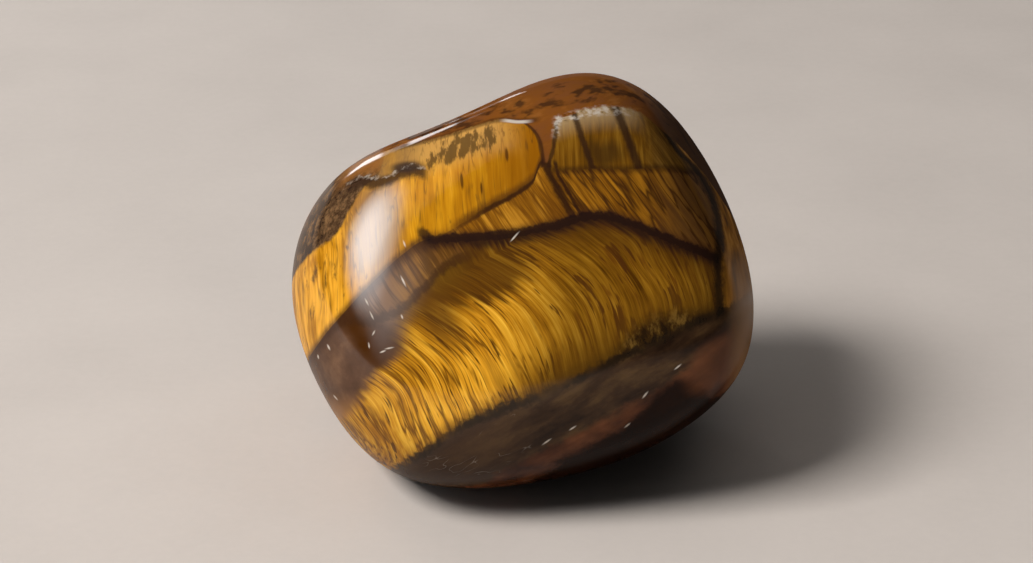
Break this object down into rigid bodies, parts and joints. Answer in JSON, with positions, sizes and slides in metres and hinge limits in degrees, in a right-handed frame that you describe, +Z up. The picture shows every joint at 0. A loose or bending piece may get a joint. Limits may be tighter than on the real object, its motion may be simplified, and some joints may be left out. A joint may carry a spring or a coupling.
{
  "type": "tumbled tiger's eye",
  "caption": "Polished tumbled tiger's eye: a rounded block of golden banded quartz with dark veins, standing on a small flat spot. For display or in the hand.",
  "frame": {"origin": "on the floor, under the middle of the stone's bounding box", "axes": "+Z up with the stone standing on its flat spot; -Y is its broad front, where the golden bands run up to the right; +X is its right-hand end, the stone's longest way"},
  "size_m": [0.0302, 0.0246, 0.0267],
  "materials": {
    "tigers_eye": "polished"
  },
  "bodies": {
    "root": {"tumbled_stone": "tigers_eye"}
  },
  "joints": []
}
